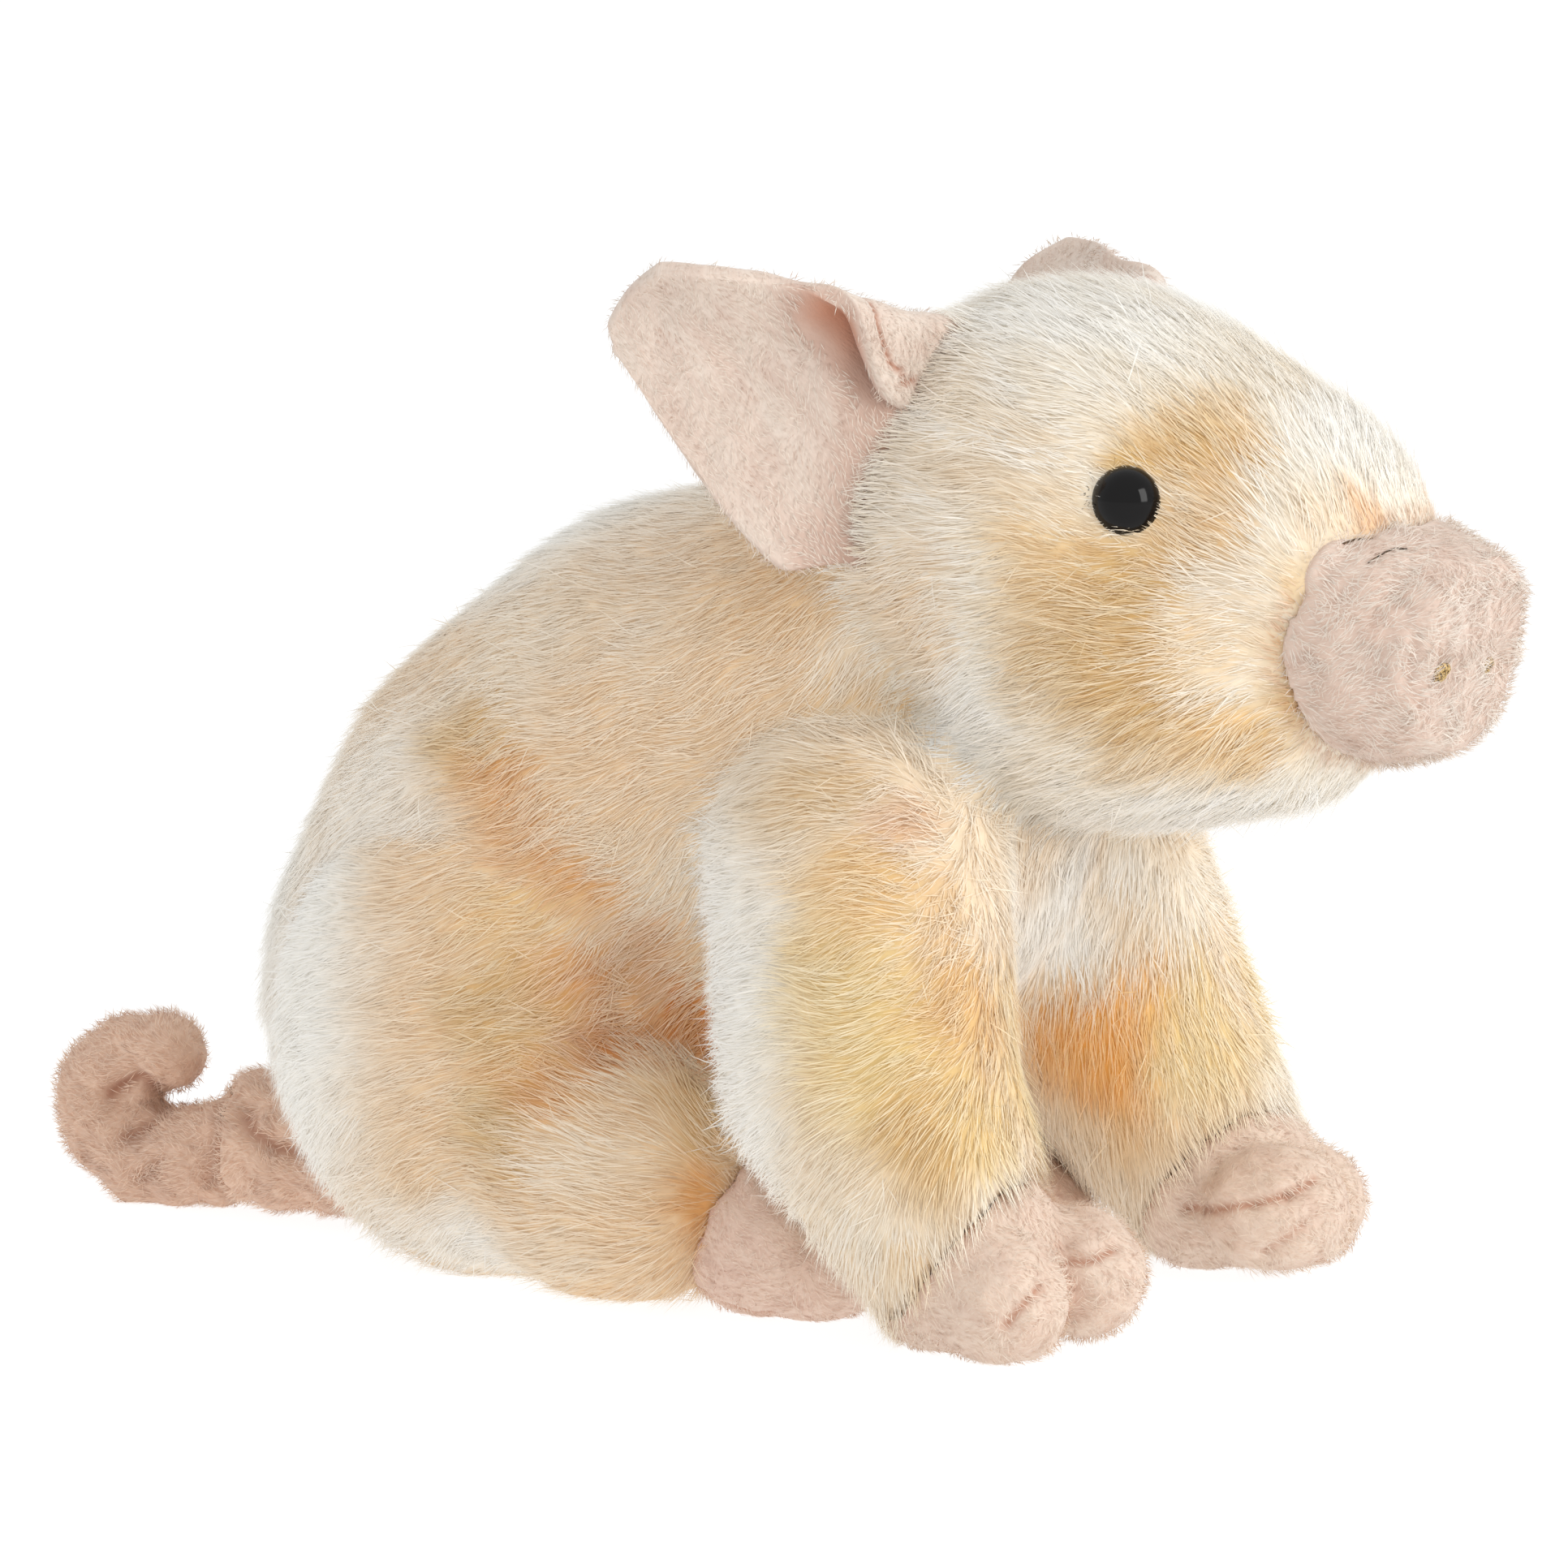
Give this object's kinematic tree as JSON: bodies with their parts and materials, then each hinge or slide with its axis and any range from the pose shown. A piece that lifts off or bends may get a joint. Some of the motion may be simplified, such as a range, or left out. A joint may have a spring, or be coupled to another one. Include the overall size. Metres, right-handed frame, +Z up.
{
  "type": "plush piglet",
  "caption": "Stuffed toy piglet sitting on its haunches with its forelegs propped in front, in soft pile with a velour snout, ears, feet and curled tail.",
  "frame": {"origin": "middle of the box of the whole toy, on the surface it sits on", "axes": "+X the way the snout points, +Y to the toy's own left, +Z up"},
  "size_m": [0.2948, 0.1394, 0.1819],
  "materials": {
    "long_pile": "soft upright pile, cream with apricot and golden patches and white along the back and the head",
    "snout_velour": "short brushed nap, pale pink",
    "ear_velour": "short brushed nap, pale pink, darker in the fold",
    "foot_velour": "short brushed nap, pink beige",
    "tail_velour": "short brushed nap, pinkish tan",
    "black_plastic": "gloss",
    "gold_thread": "twisted thread, slight sheen"
  },
  "bodies": {
    "root": {"ear_left": "ear_velour", "ear_right": "ear_velour", "eye_left": "black_plastic", "eye_right": "black_plastic", "forefoot_left": "foot_velour", "forefoot_right": "foot_velour", "foreleg_left": "long_pile", "foreleg_right": "long_pile", "head": "long_pile", "hindfoot_left": "foot_velour", "hindfoot_right": "foot_velour", "nostril_left": "gold_thread", "nostril_right": "gold_thread", "shank_left": "long_pile", "shank_right": "long_pile", "snout": "snout_velour", "tail_curl": "tail_velour", "tail_root": "tail_velour", "tail_tip": "tail_velour", "thigh_left": "long_pile", "thigh_right": "long_pile", "torso": "long_pile"}
  },
  "joints": []
}
